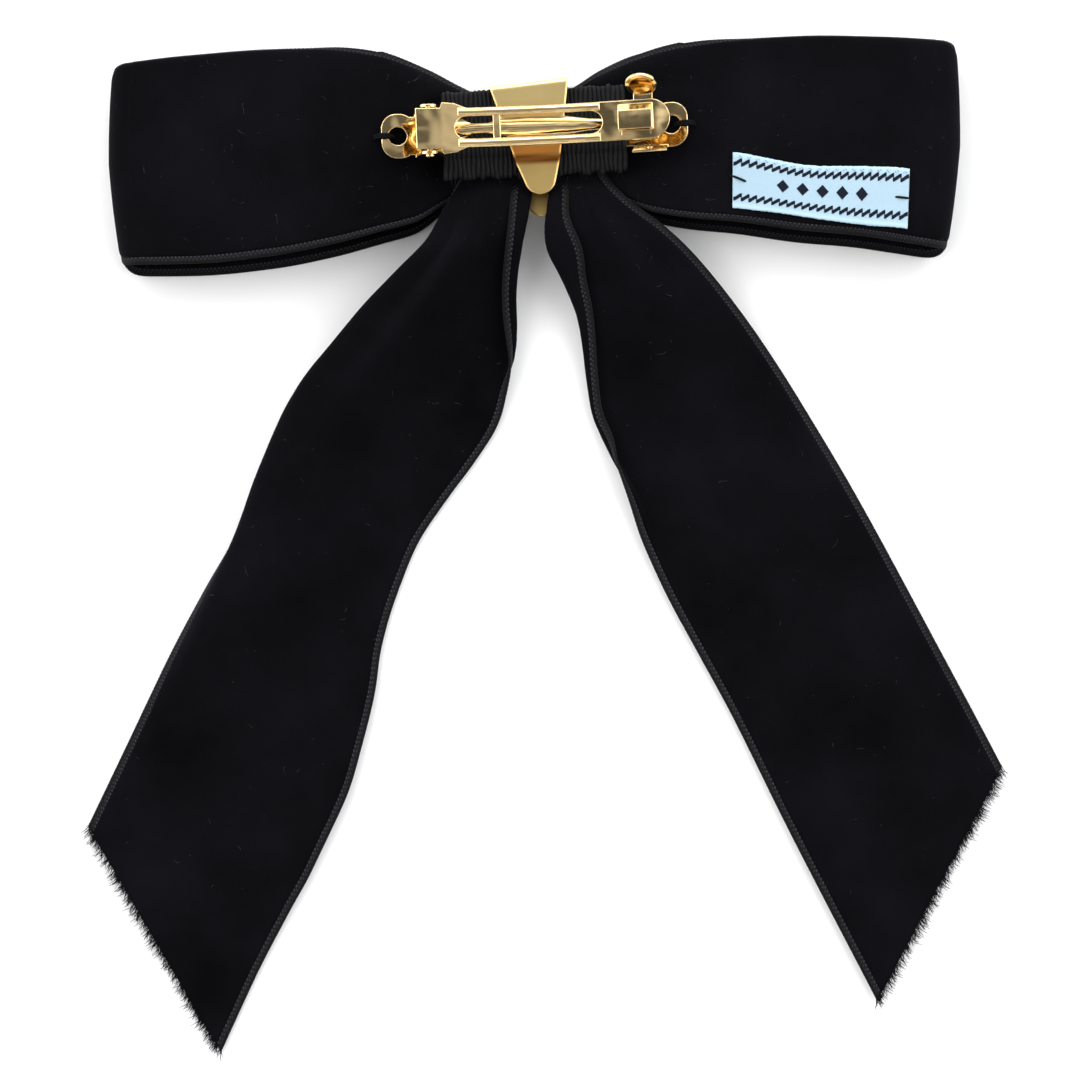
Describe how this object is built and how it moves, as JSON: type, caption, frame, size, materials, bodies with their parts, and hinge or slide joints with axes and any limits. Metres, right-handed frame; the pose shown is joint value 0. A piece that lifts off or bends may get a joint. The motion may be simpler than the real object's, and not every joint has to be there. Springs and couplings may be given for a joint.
{
  "type": "hair bow",
  "caption": "Velvet ribbon bow with two loops and two long tails, held by a folded metal band, on a sprung metal hair clip with a push-button latch.",
  "frame": {"origin": "outer face of the metal band's front leg, under the middle of the clip, on the surface the bow lies on", "axes": "+X along the clip from its hinge to its latch, +Y away from the ribbon tails, +Z from the show face to the clip side"},
  "size_m": [0.2105, 0.2292, 0.0243],
  "materials": {
    "velvet": "cut-pile velvet with a ribbed selvedge",
    "grosgrain": "ribbed tape",
    "label_cloth": "fine woven satin label",
    "black_thread": "twisted sewing thread",
    "pale_thread": "fine sewing thread",
    "polished_gold": "polished gold plating",
    "satin_gold": "satin gold plating"
  },
  "bodies": {
    "root": {"left_loop": "velvet", "right_loop": "velvet", "left_tail": "velvet", "right_tail": "velvet", "gather_thread": "black_thread", "centre_band": "satin_gold", "grosgrain_pad": "grosgrain", "clip_base": "polished_gold", "hinge_pin": "polished_gold", "latch_foot": "polished_gold", "latch_rivet": "polished_gold", "left_end_stitch": "black_thread", "right_end_stitch": "black_thread", "woven_label": "label_cloth", "label_tack_stitches": "black_thread", "label_edge_stitches": "pale_thread", "pad_edge_stitches": "black_thread"},
    "arm": {"clip_arm": "polished_gold"},
    "spring_bar": {"tension_bar": "polished_gold"},
    "latch": {"latch_leaf": "polished_gold", "push_button": "polished_gold"}
  },
  "joints": [
    {"name": "arm_hinge", "type": "hinge", "parent": "root", "child": "arm", "pos_m": [-0.0236, 0, 0.01791], "axis": [0, -1, 0], "range_deg": [0, 95]},
    {"name": "tension_bar_flex", "type": "hinge", "parent": "root", "child": "spring_bar", "pos_m": [-0.0236, 0, 0.01791], "axis": [0, 1, 0], "range_deg": [0, 3], "stiffness_Nm_per_rad": 0.3},
    {"name": "latch_press", "type": "hinge", "parent": "root", "child": "latch", "pos_m": [0.02568, 0.00065, 0.01109], "axis": [0.985, 0, 0.1728], "range_deg": [0, 5], "stiffness_Nm_per_rad": 0.15}
  ]
}
